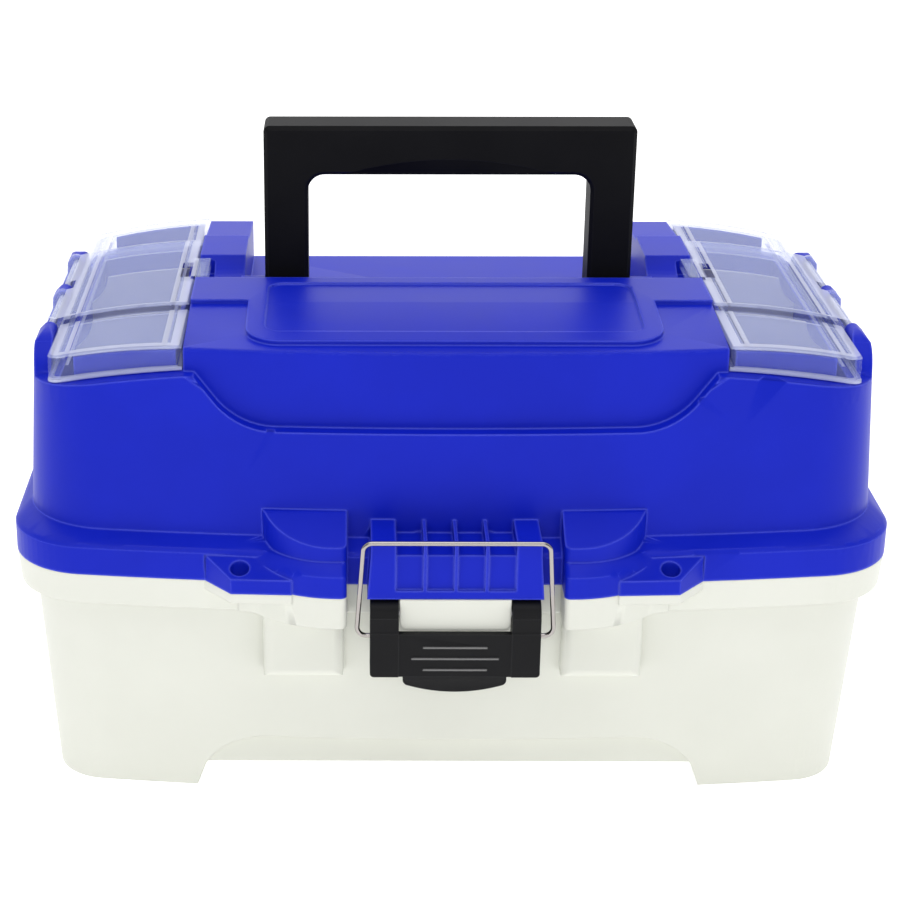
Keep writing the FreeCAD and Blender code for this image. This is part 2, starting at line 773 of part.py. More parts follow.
def catch_block():
    foot = catch_half_width + catch_flare
    low = parting
    knee = catch_floor
    outline = [(-foot, low), (foot, low), (catch_half_width, knee), (catch_half_width, catch_top),
               (-catch_half_width, catch_top), (-catch_half_width, knee)]
    solid = prism_y(outline, -catch_front, -body_front + wall)
    cells = []
    edge = catch_half_width - catch_post
    for index in range(-catch_side_cells, catch_side_cells):
        x0 = max(index * catch_rib_pitch + catch_rib / 2, -edge)
        x1 = min((index + 1) * catch_rib_pitch - catch_rib / 2, edge)
        cells.append(block(x0, x1, -catch_front + catch_sink, -body_front + wall + overrun,
                           catch_floor, catch_top + overrun))
        cells.append(block(x0, x1, -catch_front - overrun, -catch_front + catch_sink,
                           parting + catch_rail, catch_top + overrun))
    return solid.cut(Part.Compound(cells))


def ear_cap():
    """Upper block of an ear, with its top sloping down to the front."""
    root = ear_cap_flat + ear_cap_bend
    centre_y = ear_cap_bend - ear_cap_front
    back = -body_front + wall + overrun
    corner = Vector(ear_inner + ear_round, -ear_cap_front, parting)
    edges = [line(corner, Vector(ear_cap_flat, -ear_cap_front, parting)),
             arc(Vector(ear_cap_flat, -ear_cap_front, parting),
                 Vector(ear_cap_flat + ear_cap_bend * sqrt(1 / 2), centre_y - ear_cap_bend * sqrt(1 / 2),
                        parting), Vector(root, centre_y, parting)),
             line(Vector(root, centre_y, parting), Vector(root, back, parting)),
             line(Vector(root, back, parting), Vector(ear_inner, back, parting)),
             line(Vector(ear_inner, back, parting), Vector(ear_inner, ear_round - ear_cap_front, parting)),
             arc(Vector(ear_inner, ear_round - ear_cap_front, parting),
                 corner + Vector(-ear_round * sqrt(1 / 2), ear_round * (1 - sqrt(1 / 2)), 0), corner)]
    prism = Part.Face(Part.Wire(edges)).extrude(Vector(0, 0, ear_cap_back - parting))
    fall = ear_cap_drop / (ear_cap_front - body_front)
    front = -ear_cap_front
    side = [(front - overrun, parting), (front - overrun, ear_cap_back - ear_cap_drop - fall * overrun),
            (-body_front, ear_cap_back), (back, ear_cap_back), (back, parting)]
    return prism.common(prism_x(side, ear_inner - overrun, root + overrun))


def lid_ear():
    """Lower block of the lid's ear with the sloping padlock lug, right side."""
    block_top = ear_block(parting, rim_top)
    front_edges = [edge for edge in block_top.Edges
                   if edge.CenterOfMass.z > rim_top - wall and edge.CenterOfMass.y < -lip_front
                   and edge.CenterOfMass.x < ear_root - wall
                   and edge.CenterOfMass.x > ear_inner + seat_gap]
    block_top = corner_rounded(block_top.makeChamfer(ear_chamfer, front_edges))
    solid = prism_z(lug_outline(), parting, lug_crest)
    back = bow_y(lip_front, padlock_x)
    side = [(-lug_inner_front - overrun, parting), (-lug_inner_front - overrun, parting + lug_lip),
            (-lug_front, parting + lug_lip), (back, lug_crest), (-body_front + overrun, lug_crest),
            (-body_front + overrun, parting)]
    lug = solid.common(prism_x(side, lug_inner - overrun, lug_outer + overrun))
    return joined([block_top, lug])


def lid_lug():
    """Outer part of the lid's ear, from the split to its end, seated on the rim's face."""
    behind = drafted(lip_plan, parting, lip_plan, rim_top)
    return lid_ear().common(lug_side()).cut(behind).cut(padlock_hole())


def rim_block():
    """Rim of the lid with its upper edge bevelled."""
    rim = drafted(lip_plan, parting, lip_plan, rim_top)
    edges = [edge for edge in rim.Edges if edge.CenterOfMass.z > rim_top - wall]
    edges = [edge for edge in edges if abs(edge.BoundBox.ZMax - edge.BoundBox.ZMin) < running_gap]
    return rim.makeChamfer(rim_bevel, edges)


def lid_outside():
    slope = drafted(inset(lip_plan, rim_bevel), rim_top, body_plan, shoulder_top)
    walls = drafted(body_plan, shoulder_top, crest_plan, crest).common(lid_profile(0))
    pieces = [rim_block(), slope, walls, raised_middle(0), catch_block()]
    band, plate = plaque_plan(0, deck_edge - overrun, crest)
    for shape in (band, plate):
        pieces.append(shape.common(raised_middle(-band_rise).common(
            block(-centre_half_width, centre_half_width, -depth, depth, 0, crest))))
    for shape in (lid_ear().cut(lug_side()), ear_cap(), side_shoulder()):
        pieces += both_sides(shape)
    return joined(pieces)


def lid_inside():
    rim = drafted(inset(lip_plan, wall), parting - overrun, inset(lip_plan, wall), rim_top - wall)
    slope = drafted(inset(lip_plan, wall), rim_top - wall, inset(body_plan, wall), shoulder_top - wall)
    walls = drafted(inset(body_plan, wall), shoulder_top - wall,
                    inset(crest_plan, wall), crest).common(lid_profile(wall))
    middle = raised_middle(wall)
    handle_box = block(-recess_half_width - wall, recess_half_width + wall, -recess_front - wall, depth,
                       recess_floor - wall, crest)
    thumb_boxes = both_sides(block(recess_half_width, centre_half_width,
                                   -thumb_half_width - wall, thumb_half_width + wall,
                                   tab_notch_floor - wall, crest))
    middle = middle.cut(Part.Compound([handle_box] + thumb_boxes))
    return [rim, slope, walls, middle]


def handle_bosses():
    return both_sides(rod_x(handle_boss_radius, handle_half_width + seat_gap,
                            recess_half_width + wall / 2, 0, handle_pivot_z))


def lid():
    shape = lid_outside().cut(Part.Compound(lid_inside()))
    knuckles = [(x - hinge_lid_length / 2, x + hinge_lid_length / 2) for x in (-hinge_x, hinge_x)]
    extras = hinge_knuckles(knuckles, parting + seat_gap, parting + hinge_web, lip_rear)
    for y, z in ((lower_pivot_y, lower_pivot_z), (upper_pivot_y, upper_pivot_z)):
        reach = lip_half_length - wall / 2 if z < rim_top - wall else body_half_length - wall
        extras += both_sides(rod_x(pivot_boss_radius, boss_face, reach, y, z))
    extras += both_sides(well_block())
    shape = joined([shape] + extras)
    cuts = [block(-recess_half_width, recess_half_width, -recess_front, depth, recess_floor, crest),
            plaque_field(), rod_x(hinge_pin_radius + running_gap, -span, span, hinge_y, parting)]
    scoop_z = deck_peak + band_rise - thumb_depth + thumb_radius
    cuts += both_sides(rod_x(thumb_radius, recess_half_width - overrun, centre_half_width + overrun,
                             0, scoop_z))
    cuts += both_sides(block(centre_half_width - tab_notch_width, centre_half_width + overrun,
                             -tab_notch_half, tab_notch_half, tab_notch_floor, crest))
    cuts += both_sides(well_pocket()) + both_sides(swing_room())
    for room in knuckle_room():
        cuts += both_sides(room)
    cuts += both_sides(rod_y(cover_pin_radius, -cover_band_half_width - overrun,
                             cover_band_half_width + overrun, cover_axis_x, cover_axis_z))
    for y, z in ((lower_pivot_y, lower_pivot_z), (upper_pivot_y, upper_pivot_z)):
        cuts += both_sides(rod_x(pivot_pin_radius, boss_face - overrun, boss_face + overrun, y, z))
    shape = shape.cut(Part.Compound(cuts))
    shape = joined([shape] + handle_bosses())
    pin_hole = rod_x(handle_pin_radius, handle_half_width - overrun, recess_half_width + wall,
                     0, handle_pivot_z)
    return shape.cut(Part.Compound(both_sides(pin_hole)))


# Covers of the side wells, modelled for the right side and mirrored

def cover():
    low = well_floor - overrun
    x0 = cover_inner - overrun
    x1 = cover_outer + overrun
    under_skirt = arch_prism(ledge_arch, cover_skirt_gap, x0, x1, low - overrun, -depth, depth)
    above_skirt = block(x0, x1, -depth, depth, low, crest).cut(under_skirt)

    def bowl(shrink, rise, y_half):
        plan = cover_plan(shrink, low, crest)
        under = arch_prism(cover_arch, rise - shrink, x0, x1, low, -y_half, y_half)
        return plan.common(under)

    def bevelled(shape):
        top = [edge for edge in shape.Edges if edge.BoundBox.ZMin > cover_axis_z - wall
               and (edge.BoundBox.XMax - edge.BoundBox.XMin > wall
                    or edge.BoundBox.YMax - edge.BoundBox.YMin > wall)]
        return shape.makeChamfer(cover_edge, top)

    panel = bevelled(bowl(0, 0, depth))
    band_half = cover_band_half_width
    band = bevelled(bowl(0, cover_band_rise, band_half))
    band_wing = arch_prism(cover_arch, cover_band_rise, cover_outer - cover_corner, cover_axis_x,
                           cover_axis_z, -band_half, band_half)
    knuckle = rod_y(cover_knuckle_radius, -band_half, band_half, cover_axis_x, cover_axis_z)
    bead = bowl(-cover_bead, 0, depth).common(
        arch_prism(ledge_arch, cover_skirt_gap + cover_bead_height, cover_inner, cover_outer, low,
                   -depth, depth)).cut(block(x0, x1, -cover_end_outer + cover_corner,
                                             cover_end_outer - cover_corner, low, crest))
    solid = joined([panel, band, band_wing, knuckle, bead])
    hollow = Part.Compound([bowl(thin_wall, 0, depth), bowl(thin_wall, cover_band_rise,
                                                            band_half - thin_wall)])
    hinge_part = block(cover_outer - cover_corner, cover_axis_x + cover_knuckle_radius + overrun,
                       -band_half, band_half, cover_axis_z - overrun, crest)
    solid = solid.cut(hollow).common(joined([above_skirt, hinge_part]))
    rib_reach = cover_end_outer - cover_edge
    for x in cover_ribs:
        rib_low = arch_z(x, cover_arch, -thin_wall - cover_rib_depth)
        rib = block(x - cover_rib_thickness / 2, x + cover_rib_thickness / 2, -rib_reach, rib_reach,
                    rib_low, crest)
        solid = joined([solid, rib.common(joined([bowl(seat_gap, 0, depth),
                                                  bowl(seat_gap, cover_band_rise, band_half - thin_wall)]))])
    tab_top = cover_peak + cover_band_rise + cover_tab_rise
    tab_end = cover_inner - cover_tab_width
    tab = block(tab_end, cover_inner + thin_wall, -cover_tab_half_length, cover_tab_half_length,
                tab_top - thin_wall, tab_top)
    hook = block(tab_end, tab_end + thin_wall, -cover_tab_half_length, cover_tab_half_length,
                 tab_top - thin_wall - cover_tab_hook, tab_top)
    solid = joined([solid, tab, hook])
    half = cover_window_length / 2
    window = block(cover_inner + thin_wall, cover_inner + thin_wall + cover_window_width, -half, half,
                   cover_peak - wall, crest)
    gap = mid_knuckle_half_length + seat_gap
    notch = block(cover_axis_x - cover_knuckle_radius - seat_gap,
                  cover_axis_x + cover_knuckle_radius + overrun, -gap, gap, low, crest)
    bore = rod_y(cover_pin_radius + running_gap, -depth, depth, cover_axis_x, cover_axis_z)
    return solid.cut(Part.Compound([window, notch, bore]))


def cover_pin():
    return rod_y(cover_pin_radius, -cover_band_half_width - overrun + seat_gap,
                 cover_band_half_width + overrun - seat_gap, cover_axis_x, cover_axis_z)


# Handle: two legs and a grip, with the finger curve in its face

def handle():
    outer = [(-handle_half_width, handle_pivot_z), (-handle_half_width, handle_top),
             (handle_half_width, handle_top), (handle_half_width, handle_pivot_z)]
    front = -handle_thickness / 2
    solid = prism_y(outer, front, -front)
    top_corners = [edge for edge in solid.Edges
                   if abs(edge.CenterOfMass.x) > handle_half_width - handle_edge
                   and edge.CenterOfMass.z > handle_top - handle_edge]
    solid = solid.makeFillet(handle_shoulder, top_corners)
    solid = joined([solid] + both_sides(rod_x(handle_thickness / 2, handle_half_width - handle_leg,
                                              handle_half_width, 0, handle_pivot_z)))
    opening_half = handle_half_width - handle_leg
    opening = block(-opening_half, opening_half, front - overrun, -front + overrun,
                    handle_pivot_z - handle_thickness, handle_top - handle_grip)
    bends = [edge for edge in opening.Edges
             if abs(edge.CenterOfMass.x) > opening_half - handle_edge
             and edge.CenterOfMass.z > handle_top - handle_grip - handle_edge]
    solid = solid.cut(opening.makeFillet(handle_bend, bends))
    faces = [edge for edge in solid.Edges
             if edge.BoundBox.YMax - edge.BoundBox.YMin < running_gap]
    solid = solid.makeChamfer(handle_edge, faces)
    under = handle_top - handle_grip
    low = under - overrun
    edges = [
        arc(Vector(-finger_half_width, 0, under), Vector(0, 0, under + finger_rise),
            Vector(finger_half_width, 0, under)),
        line(Vector(finger_half_width, 0, under), Vector(finger_half_width, 0, low)),
        line(Vector(finger_half_width, 0, low), Vector(-finger_half_width, 0, low)),
        line(Vector(-finger_half_width, 0, low), Vector(-finger_half_width, 0, under)),
    ]
    curve = Part.Face(Part.Wire(edges))
    curve.translate(Vector(0, front - overrun, 0))
    solid = solid.cut(curve.extrude(Vector(0, overrun + finger_depth, 0)))
    holes = both_sides(rod_x(handle_pin_radius + running_gap,
                             handle_half_width - handle_pin_reach - seat_gap,
                             handle_half_width + overrun, 0, handle_pivot_z))
    return solid.cut(Part.Compound(holes))


def handle_pin():
    return rod_x(handle_pin_radius, handle_half_width - handle_pin_reach, recess_half_width + wall,
                 0, handle_pivot_z)


# Latch lever, its pin and the wire bail

def lever():
    arm_x0 = pad_half_width + lever_side_gap
    back = -lever_front + lever_arm_depth
    arm = joined([rod_x(lever_top_radius, arm_x0, lever_half_width, -lever_pivot_y, lever_pivot_z),
                  block(arm_x0, lever_half_width, -lever_front, back, lever_bottom, lever_pivot_z),
                  block(arm_x0, lever_half_width, -lever_front - lever_rib_rise, back, lever_bottom,
                        pad_bottom)])
    plate = block(-lever_half_width, lever_half_width, -lever_front, -lever_front + lever_plate,
                  lever_bottom, pad_bottom - seat_gap)
    half = lever_lip_half_width
    lip_low = lever_bottom - lever_lip_drop
    lip_end = lever_bottom - lever_lip_drop / 2
    edges = [
        line(Vector(-half, 0, lever_bottom), Vector(half, 0, lever_bottom)),
        line(Vector(half, 0, lever_bottom), Vector(half, 0, lip_end)),
        arc(Vector(half, 0, lip_end), Vector(0, 0, lip_low), Vector(-half, 0, lip_end)),
        line(Vector(-half, 0, lip_end), Vector(-half, 0, lever_bottom)),
    ]
    lip = Part.Face(Part.Wire(edges))
    lip.translate(Vector(0, -lever_front + lever_rib_rise, 0))
    lip = lip.extrude(Vector(0, lever_plate - lever_rib_rise, 0))
    lip_corners = [edge for edge in lip.Edges
                   if abs(edge.CenterOfMass.x) > half - running_gap and edge.CenterOfMass.z < lever_bottom
                   and edge.BoundBox.ZMax - edge.BoundBox.ZMin < running_gap]
    lip = lip.makeFillet(lever_lip_round, lip_corners)
    pieces = both_sides(arm) + [plate, lip]
    for z, half in zip(lever_rib_heights, lever_rib_halves):
        pieces.append(block(-half, half, -lever_front - lever_rib_rise, -lever_front,
                            z - lever_rib_thickness / 2, z + lever_rib_thickness / 2))
    solid = joined(pieces)
    corners = [edge for edge in solid.Edges
               if abs(edge.CenterOfMass.x) > lever_half_width - running_gap
               and abs(edge.CenterOfMass.z - lever_bottom) < running_gap]
    solid = solid.makeFillet(lever_corner, corners)
    holes = [rod_x(lever_pin_radius + running_gap, -span, span, -lever_pivot_y, lever_pivot_z)]
    holes += both_sides(rod_x(wire_radius + running_gap, lever_half_width - bail_end_depth - seat_gap,
                              lever_half_width + overrun, -bail_pivot_y, bail_pivot_z))
    return solid.cut(Part.Compound(holes))


def lever_pin():
    return rod_x(lever_pin_radius, -lever_half_width, lever_half_width, -lever_pivot_y, lever_pivot_z)


def rounded_path(points, radius):
    """Straight runs through the points, joined by tangent arcs of one radius."""
    edges = []
    start = points[0]
    for index in range(1, len(points) - 1):
        corner = points[index]
        into = (corner - points[index - 1]).normalize()
        out = (points[index + 1] - corner).normalize()
        half = into.getAngle(out) / 2
        cut = radius * tan(half)
        a = corner - into * cut
        b = corner + out * cut
        inward = (out - into).normalize()
        middle = corner + inward * (radius / cos(half) - radius)
        edges.append(line(start, a))
        edges.append(arc(a, middle, b))
        start = b
    edges.append(line(start, points[-1]))
    return Part.Wire(edges)


def bail():
    bar_y = -catch_front - bail_gap - wire_radius
    end_x = lever_half_width - bail_end_depth
    right = [Vector(end_x, -bail_pivot_y, bail_pivot_z),
             Vector(bail_foot_half_width, -bail_pivot_y, bail_pivot_z),
             Vector(bail_top_half_width, bar_y, bail_top)]
    left = [Vector(-p.x, p.y, p.z) for p in reversed(right)]
    path = rounded_path(right + left, bail_bend)
    ring = Part.Wire(Part.makeCircle(wire_radius, right[0], Vector(1, 0, 0)))
    return path.makePipeShell([ring], True, False)


# Trays, their dividers, pegs and arms

def tray_plans():
    top = (tray_half_length, tray_front, tray_rear, tray_corner)
    return inset(top, tray_draft), top


def tray(bottom, top, pivot_y, pivot_z, peg_y, peg_z):
    low_plan, high_plan = tray_plans()
    solid = drafted(low_plan, bottom, high_plan, top)
    hollow = drafted(inset(low_plan, thin_wall), bottom + thin_wall,
                     inset(high_plan, thin_wall), top + overrun)
    solid = solid.cut(hollow)
    x0 = tray_half_length - tray_ear_thickness
    ear = rod_x(tray_ear_radius, x0, tray_half_length, pivot_y, pivot_z)
    margin = tray_ear_radius + seat_gap
    peg_pad = rod_x(tray_ear_radius, x0, tray_half_length, peg_y,
                    min(max(peg_z, bottom + margin), top - margin))
    pieces = [solid] + both_sides(ear) + both_sides(peg_pad)
    if pivot_y > tray_rear:
        arm_top = top - tray_ear_thickness
        web = prism_x([(tray_rear - tray_corner, arm_top), (tray_rear - tray_corner, bottom + tray_corner),
                       (pivot_y + tray_ear_radius, pivot_z), (pivot_y - tray_ear_radius, pivot_z)],
                      x0, tray_half_length)
        pieces += both_sides(web)
    solid = joined(pieces)
    holes = both_sides(rod_x(pivot_pin_radius + running_gap, x0 - overrun, tray_half_length + overrun,
                             pivot_y, pivot_z))
    holes += both_sides(rod_x(pivot_pin_radius, x0 - overrun, tray_half_length + overrun, peg_y, peg_z))
    return solid.cut(Part.Compound(holes))


def tray_dividers(bottom, top, cross_shares):
    low_plan, high_plan = tray_plans()
    room = drafted(inset(low_plan, thin_wall + seat_gap), bottom + thin_wall,
                   inset(high_plan, thin_wall + seat_gap), top)
    high = top - tray_divider_drop
    half = tray_divider_thickness / 2
    spine_y = -tray_front + tray_spine_share * (tray_front + tray_rear)
    inner = tray_half_length - tray_ear_thickness - seat_gap
    plates = [block(-inner, inner, spine_y - half, spine_y + half, bottom, high)]
    for share in cross_shares:
        x = share * tray_half_length
        plates.append(block(x - half, x + half, -depth, depth, bottom, high))
    return joined(plates).common(room)


def peg(peg_y, peg_z):
    return rod_x(pivot_pin_radius, tray_half_length - tray_ear_thickness, arm_outer + arm_side_gap / 2,
                 peg_y, peg_z)


def arm():
    stations = [(arm_pivot_y, arm_pivot_z), (lower_peg_y, lower_peg_z), (upper_peg_y, upper_peg_z)]
    pieces = [rod_x(arm_half_width, arm_inner, arm_outer, y, z) for y, z in stations]
    for (y0, z0), (y1, z1) in zip(stations, stations[1:]):
        run = sqrt((y1 - y0) ** 2 + (z1 - z0) ** 2)
        ny = -(z1 - z0) / run * arm_half_width
        nz = (y1 - y0) / run * arm_half_width
        pieces.append(prism_x([(y0 + ny, z0 + nz), (y1 + ny, z1 + nz), (y1 - ny, z1 - nz),
                               (y0 - ny, z0 - nz)], arm_inner, arm_outer))
    solid = joined(pieces)
    holes = [rod_x(pivot_pin_radius + running_gap, arm_inner - overrun, arm_outer + overrun,
                   arm_pivot_y, arm_pivot_z)]
    for y, z in stations[1:]:
        holes.append(rod_x(pivot_pin_radius + peg_gap, arm_inner - overrun, arm_outer + overrun, y, z))
    return solid.cut(Part.Compound(holes))


def well_dividers():
    pocket = cover_plan(thin_wall + well_side_gap + thin_wall + seat_gap, well_floor, crest)
    under = arch_prism(cover_arch, -thin_wall - cover_rib_depth - 2 * seat_gap, cover_inner,
                       cover_outer, well_floor - overrun, -depth, depth)
    plates = []
    pitch = 2 * cover_end_inner / (well_divider_count + 1)
    for index in range(well_divider_count):
        y = -cover_end_inner + pitch * (index + 1)
        plates.append(block(cover_inner, cover_outer, y - well_divider_thickness / 2,
                            y + well_divider_thickness / 2, well_floor, crest))
    swing = rod_y(divider_swing, -depth, depth, cover_axis_x, cover_axis_z)
    return Part.Compound([plate.common(pocket).common(under).cut(swing) for plate in plates])


# Build and write every piece

def main():
    whole_tub = tub()
    export("tub_shell", whole_tub.cut(below_floor()))
    export("tub_feet", whole_tub.common(below_floor()))
    export("tub_front_blocks", Part.Compound(both_sides(tub_front_block()) + [latch_pad()]))
    export("tub_lugs", Part.Compound(both_sides(tub_lug())))
    export("lid_shell", lid())
    export("lid_lugs", Part.Compound(both_sides(lid_lug())))
    export("handle", handle())
    export("handle_pins", Part.Compound(both_sides(handle_pin())))
    right_cover = cover()
    export("cover_right", right_cover)
    export("cover_left", mirrored(right_cover))
    export("cover_hinge_pins", Part.Compound(both_sides(cover_pin())))
    export("latch_lever", lever())
    export("latch_pin", lever_pin())
    export("latch_bail", bail())
    pin_half = hinge_lid_length / 2 + seat_gap + hinge_tub_length
    hinge_pin = rod_x(hinge_pin_radius, hinge_x - pin_half, hinge_x + pin_half, hinge_y, parting)
    export("lid_hinge_pins", Part.Compound(both_sides(hinge_pin)))
    pivot_pins = []
    for y, z in ((lower_pivot_y, lower_pivot_z), (upper_pivot_y, upper_pivot_z)):
        pin = rod_x(pivot_pin_radius, tray_half_length - tray_ear_thickness, boss_face + overrun, y, z)
        pivot_pins += both_sides(pin)
    export("tray_pivot_pins", Part.Compound(pivot_pins))
    arm_pin = rod_x(pivot_pin_radius, arm_inner, brim_half_length - wall, arm_pivot_y, arm_pivot_z)
    export("link_pivot_pins", Part.Compound(both_sides(arm_pin)))
    right_arm = arm()
    export("link_arm_right", right_arm)
    export("link_arm_left", mirrored(right_arm))
    export("tray_lower", tray(lower_tray_bottom, lower_tray_top, lower_pivot_y, lower_pivot_z,
                              lower_peg_y, lower_peg_z))
    export("tray_upper", tray(upper_tray_bottom, upper_tray_top, upper_pivot_y, upper_pivot_z,
                              upper_peg_y, upper_peg_z))
    export("tray_lower_dividers", tray_dividers(lower_tray_bottom, lower_tray_top, lower_cross_shares))
    export("tray_upper_dividers", tray_dividers(upper_tray_bottom, upper_tray_top, upper_cross_shares))
    export("tray_lower_pegs", Part.Compound(both_sides(peg(lower_peg_y, lower_peg_z))))
    export("tray_upper_pegs", Part.Compound(both_sides(peg(upper_peg_y, upper_peg_z))))
    right_dividers = well_dividers()
    export("well_dividers_right", right_dividers)
    export("well_dividers_left", mirrored(right_dividers))


main()
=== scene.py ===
from math import radians

import bpy
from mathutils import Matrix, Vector


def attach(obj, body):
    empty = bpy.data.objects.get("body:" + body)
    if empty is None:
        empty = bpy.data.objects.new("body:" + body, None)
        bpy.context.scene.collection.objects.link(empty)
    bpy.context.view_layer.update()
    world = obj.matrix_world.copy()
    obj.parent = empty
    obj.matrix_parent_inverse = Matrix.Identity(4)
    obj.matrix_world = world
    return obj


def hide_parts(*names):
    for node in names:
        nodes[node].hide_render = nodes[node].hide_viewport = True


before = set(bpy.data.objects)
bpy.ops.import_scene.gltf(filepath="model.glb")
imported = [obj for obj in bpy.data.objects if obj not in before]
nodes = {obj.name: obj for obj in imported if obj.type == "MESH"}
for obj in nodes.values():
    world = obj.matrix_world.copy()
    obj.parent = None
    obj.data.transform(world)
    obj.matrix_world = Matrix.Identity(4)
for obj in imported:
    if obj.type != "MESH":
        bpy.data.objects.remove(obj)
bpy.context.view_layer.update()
print("frame loaded:", len(nodes), "nodes")

# Camera, placed where the photograph was taken from

viewpoint = {
    "place": (-0.0406, -0.8542, 0.4606),
    "down": 21.93,
    "turn": 0.31,
    "lens": 84.8,
    "sensor": 36.0,
    "shiftX": 0.1222,
    "shiftY": -0.0072,
    "near": 0.01,
    "far": 60.0,
}


def placeCamera():
    data = bpy.data.cameras.new("photoCamera")
    camera = bpy.data.objects.new("photoCamera", data)
    bpy.context.scene.collection.objects.link(camera)
    data.sensor_fit = "HORIZONTAL"
    data.sensor_width = viewpoint["sensor"]
    data.lens = viewpoint["lens"]
    data.shift_x = viewpoint["shiftX"]
    data.shift_y = viewpoint["shiftY"]
    data.clip_start = viewpoint["near"]
    data.clip_end = viewpoint["far"]
    camera.location = viewpoint["place"]
    camera.rotation_euler = (radians(90.0 - viewpoint["down"]), 0.0, radians(viewpoint["turn"]))
    bpy.context.scene.camera = camera
    print("camera placed")


# White sweep, a sky that is brighter behind than in front, and soft lamps

studio = {
    "floorReach": 24.0,
    "floorColour": (0.90, 0.90, 0.90),
    "floorRoughness": 0.9,
    "floorShine": 0.1,
    "floorGlow": 0.55,
    "white": (1.0, 1.0, 1.0, 1.0),
    "skyFront": 0.30,
    "skyBack": 1.15,
    "skyTurn": 0.7,  # it brightens between these shares of the way to the front and to the back
    "lamps": {
        # name: place, looks at, width, height, power
        "topLamp": ((0.0, -0.45, 1.7), (0.0, 0.0, 0.15), 1.6, 1.2, 10.0),
        "frontLamp": ((0.0, -2.1, 1.0), (0.0, 0.0, 0.10), 1.8, 1.0, 9.0),
        "rearLamp": ((0.0, 1.5, 1.3), (0.0, 0.0, 0.15), 1.8, 0.8, 5.0),
    },
}


def skyNodes(tree):
    # the brightness grows from the front to the back
    facing = tree.nodes.new("ShaderNodeTexCoord").outputs["Generated"]
    parts = tree.nodes.new("ShaderNodeSeparateXYZ")
    tree.links.new(facing, parts.inputs["Vector"])
    grow = tree.nodes.new("ShaderNodeMapRange")
    grow.inputs["From Min"].default_value = -studio["skyTurn"]
    grow.inputs["From Max"].default_value = studio["skyTurn"]
    grow.inputs["To Min"].default_value = studio["skyFront"]
    grow.inputs["To Max"].default_value = studio["skyBack"]
    tree.links.new(parts.outputs["Y"], grow.inputs["Value"])
    return grow.outputs["Result"]


def buildStudio():
    bpy.ops.mesh.primitive_plane_add(size=studio["floorReach"], location=(0.0, 0.0, 0.0))
    floor = bpy.context.object
    floor.name = "studioFloor"
    finish = bpy.data.materials.new("paleFloor")
    finish.use_nodes = True
    shader = finish.node_tree.nodes["Principled BSDF"]
    shader.inputs["Base Color"].default_value = (*studio["floorColour"], 1.0)
    shader.inputs["Roughness"].default_value = studio["floorRoughness"]
    shader.inputs["Specular IOR Level"].default_value = studio["floorShine"]
    shader.inputs["Emission Color"].default_value = studio["white"]
    shader.inputs["Emission Strength"].default_value = studio["floorGlow"]
    floor.data.materials.append(finish)
    world = bpy.data.worlds.new("paleSky")
    world.use_nodes = True
    sky = world.node_tree.nodes["Background"]
    sky.inputs["Color"].default_value = studio["white"]
    world.node_tree.links.new(skyNodes(world.node_tree), sky.inputs["Strength"])
    bpy.context.scene.world = world
    for name, (place, target, width, height, power) in studio["lamps"].items():
        lamp = bpy.data.lights.new(name, "AREA")
        lamp.shape = "RECTANGLE"
        lamp.size = width
        lamp.size_y = height
        lamp.energy = power
        holder = bpy.data.objects.new(name, lamp)
        bpy.context.scene.collection.objects.link(holder)
        holder.location = place
        aim = Vector(target) - Vector(place)
        holder.rotation_euler = aim.to_track_quat("-Z", "Y").to_euler()
    bpy.context.scene.view_settings.view_transform = "Standard"
    print("studio lit")


# Moulded plastics

finishes = {
    # colour, darker mottle, painted edge highlight; roughness and shine; grains per metre and their depth,
    # edge rounding
    "tubIvory": {"colour": (0.755, 0.765, 0.695), "mottle": (0.735, 0.745, 0.675),
                 "paintedHighlight": (0.84, 0.84, 0.78), "roughness": 0.40, "shine": 0.25,
                 "grain": 900.0, "depth": 0.00003, "edge": 0.0012},
    "lidBlue": {"colour": (0.005, 0.017, 0.52), "mottle": (0.004, 0.015, 0.48),
                "paintedHighlight": (0.085, 0.115, 0.84), "roughness": 0.38, "shine": 0.12,
                "grain": 900.0, "depth": 0.00003, "edge": 0.0016},
    "handleBlack": {"colour": (0.006, 0.006, 0.007), "mottle": (0.004, 0.004, 0.005),
                    "paintedHighlight": (0.022, 0.022, 0.024), "roughness": 0.52, "shine": 0.07,
                    "grain": 1100.0, "depth": 0.00005, "edge": 0.0006},
    "latchBlack": {"colour": (0.009, 0.009, 0.010), "mottle": (0.007, 0.007, 0.008),
                   "paintedHighlight": (0.030, 0.030, 0.032), "roughness": 0.42, "shine": 0.12,
                   "grain": 1100.0, "depth": 0.00005, "edge": 0.0007},
    "trayIvory": {"colour": (0.78, 0.79, 0.71), "mottle": (0.75, 0.76, 0.68), "paintedHighlight": (0.84, 0.84, 0.77),
                  "roughness": 0.42, "shine": 0.25, "grain": 900.0, "depth": 0.00003, "edge": 0.0005},
    "dividerGrey": {"colour": (0.60, 0.60, 0.57), "mottle": (0.56, 0.56, 0.53), "paintedHighlight": (0.66, 0.66, 0.63),
                    "roughness": 0.45, "shine": 0.25, "grain": 900.0, "depth": 0.00003, "edge": 0.0003},
}
moulding = {
    # what all plastics share: clouds in the colour, grain, rounded edges and the highlight painted on them
    "cloudScale": 28.0, "cloudDetail": 5.0, "mottleUntil": 0.35, "colourFrom": 0.65,
    "smoother": 0.04, "rougher": 0.05, "grainDetail": 3.0, "grainStrength": 0.6,
    "roundingSamples": 6, "paintedHighlightFrom": 0.985, "paintedHighlightFull": 0.80,
}


def startMaterial(name):
    material = bpy.data.materials.new(name)
    material.use_nodes = True
    tree = material.node_tree
    place = tree.nodes.new("ShaderNodeTexCoord").outputs["Object"]
    return material, tree, tree.nodes["Principled BSDF"], place


